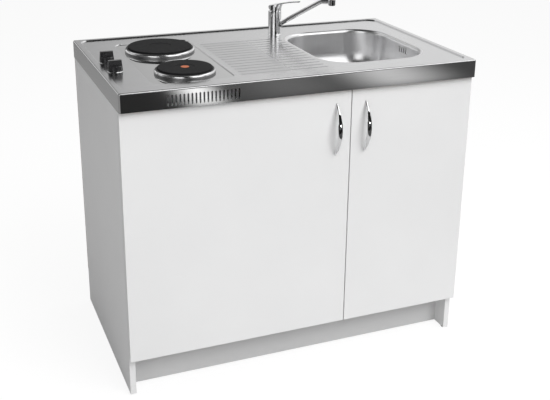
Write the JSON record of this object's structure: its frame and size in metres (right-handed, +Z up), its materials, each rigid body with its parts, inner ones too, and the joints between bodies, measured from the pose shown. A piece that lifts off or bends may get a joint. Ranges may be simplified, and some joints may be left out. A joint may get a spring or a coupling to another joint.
{
  "type": "kitchenette unit with sink and hob",
  "caption": "Free-standing kitchenette: pressed steel top with hotplates, drainer, bowl and lever mixer tap on a white two-door cabinet.",
  "frame": {"origin": "middle of the unit's overall box at floor level, under the glides", "axes": "+X along the front to the right, +Y to the back, +Z up"},
  "size_m": [1, 0.615, 0.9816],
  "materials": {
    "worktop_steel": "linen-pattern pressed stainless steel, satin",
    "bowl_steel": "bright drawn stainless steel",
    "batten_wood": "raw chipboard",
    "zinc_sheet": "zinc-coated sheet",
    "cast_iron": "dull black, fine turned rings",
    "ring_steel": "bright pressed stainless ring",
    "red_paint": "matte heat-proof paint",
    "white_plastic": "moulded white",
    "grey_plastic": "moulded grey",
    "black_plastic": "moulded black, slightly glossy",
    "brass": "turned brass",
    "copper": "drawn copper tube",
    "white_melamine": "white melamine-faced board, satin",
    "hardboard": "brown hardboard",
    "zinc_fittings": "nickel-plated fittings",
    "handle_chrome": "polished",
    "clear_rubber": "soft translucent bumper",
    "strainer_steel": "polished",
    "tap_chrome": "polished",
    "aerator_chrome": "polished"
  },
  "bodies": {
    "cabinet": {"worktop": "worktop_steel", "sink_bowl": "bowl_steel", "worktop_battens": "batten_wood", "hob_cover_box": "zinc_sheet", "large_hotplate": "cast_iron", "small_hotplate": "cast_iron", "large_plate_ring": "ring_steel", "small_plate_ring": "ring_steel", "plate_clamps": "zinc_sheet", "red_dot": "red_paint", "rear_switch": "white_plastic", "front_switch": "white_plastic", "knob_bezels": "white_plastic", "terminal_block": "white_plastic", "cable_gland": "black_plastic", "left_side_panel": "white_melamine", "right_side_panel": "white_melamine", "partition_panel": "white_melamine", "bottom_panel": "white_melamine", "back_panel": "hardboard", "plinth_board": "white_melamine", "front_rails": "white_melamine", "rear_rails": "white_melamine", "shelf": "white_melamine", "shelf_pins": "zinc_fittings", "panel_glides": "black_plastic", "hinge_arms": "zinc_fittings", "waste_strainer": "strainer_steel", "waste_body": "white_plastic", "overflow_pipe": "white_plastic", "trap_body": "white_plastic", "trap_cup": "grey_plastic", "trap_nuts": "white_plastic", "outlet_pipe": "white_plastic", "tap_base": "tap_chrome", "tap_fixing": "brass", "water_tails": "copper"},
    "left_door": {"left_door": "white_melamine", "left_handle": "handle_chrome", "left_handle_screws": "zinc_fittings", "left_hinge_cups": "zinc_fittings", "left_door_buffers": "clear_rubber"},
    "right_door": {"right_door": "white_melamine", "right_handle": "handle_chrome", "right_handle_screws": "zinc_fittings", "right_hinge_cups": "zinc_fittings", "right_door_buffers": "clear_rubber"},
    "rear_control": {"rear_knob": "black_plastic", "rear_spindle": "brass"},
    "front_control": {"front_knob": "black_plastic", "front_spindle": "brass"},
    "mixer": {"mixer_body": "tap_chrome", "spout": "tap_chrome", "aerator": "aerator_chrome", "cartridge": "white_plastic"},
    "lever_carrier": {"lever_stem": "zinc_fittings"},
    "lever": {"tap_lever": "tap_chrome"}
  },
  "joints": [
    {"name": "left_door_hinge", "type": "hinge", "parent": "cabinet", "child": "left_door", "pos_m": [-0.491, -0.2725, 0.461], "axis": [0, 0, -1], "range_deg": [0, 100]},
    {"name": "right_door_hinge", "type": "hinge", "parent": "cabinet", "child": "right_door", "pos_m": [0.491, -0.2725, 0.461], "axis": [0, 0, 1], "range_deg": [0, 100]},
    {"name": "rear_knob_turn", "type": "hinge", "parent": "cabinet", "child": "rear_control", "pos_m": [-0.457, 0.0335, 0.862], "axis": [0, 0, 1], "continuous": true},
    {"name": "front_knob_turn", "type": "hinge", "parent": "cabinet", "child": "front_control", "pos_m": [-0.457, -0.0695, 0.862], "axis": [0, 0, 1], "continuous": true},
    {"name": "spout_swivel", "type": "hinge", "parent": "cabinet", "child": "mixer", "pos_m": [0.094, 0.1935, 0.875], "axis": [0, 0, 1], "range_deg": [-70, 70]},
    {"name": "lever_turn", "type": "hinge", "parent": "mixer", "child": "lever_carrier", "pos_m": [0.094, 0.1935, 0.9365], "axis": [0, 0, 1], "range_deg": [-45, 45]},
    {"name": "lever_lift", "type": "hinge", "parent": "lever_carrier", "child": "lever", "pos_m": [0.094, 0.1935, 0.9365], "axis": [-0.7314, -0.682, 0], "range_deg": [0, 20]}
  ]
}
